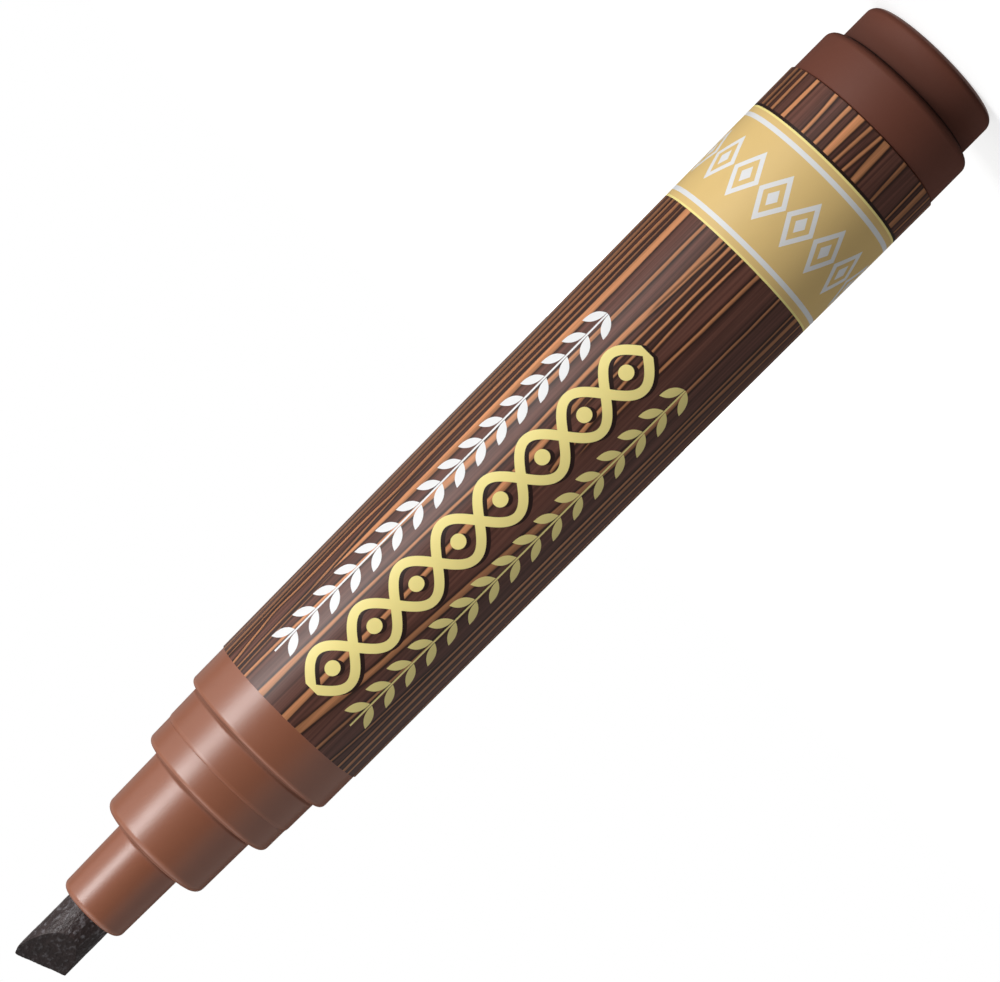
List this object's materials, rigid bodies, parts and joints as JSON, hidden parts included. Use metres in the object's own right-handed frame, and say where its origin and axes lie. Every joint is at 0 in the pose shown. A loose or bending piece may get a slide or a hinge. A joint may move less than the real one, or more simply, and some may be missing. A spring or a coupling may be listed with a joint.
{
  "type": "furniture touch-up marker",
  "caption": "Round felt-tip touch-up marker with its cap off: stepped nose with a chisel nib, wood-grain printed barrel, fibre ink reservoir and a tail plug with a cap post.",
  "frame": {"origin": "centre of the tail's flat end, where the marker stands", "axes": "+Z along the barrel from the tail to the nib, +X to the side where the slanted nib edge is highest, +Y through the nib's two chisel faces"},
  "size_m": [0.0182, 0.0182, 0.1192],
  "materials": {
    "brown_plastic": "satin moulded, light walnut brown",
    "dark_brown_plastic": "satin moulded, dark brown",
    "wood_grain_film": "glossy printed film, dark brown with tan lengthwise grain",
    "nib_felt": "pressed felt soaked in dark stain",
    "ink_fibre": "bundled fibre soaked in brown stain",
    "clear_film": "thin milky film"
  },
  "bodies": {
    "marker": {"tail_plug": "dark_brown_plastic", "barrel": "brown_plastic", "wood_grain_sleeve": "wood_grain_film", "nose": "brown_plastic", "reservoir_core": "ink_fibre", "reservoir_wrap": "clear_film"},
    "nib": {"nib": "nib_felt"}
  },
  "joints": [
    {"name": "nib_pull", "type": "slide", "parent": "marker", "child": "nib", "axis": [0, 0, 1], "range_m": [0, 0.0345]}
  ]
}
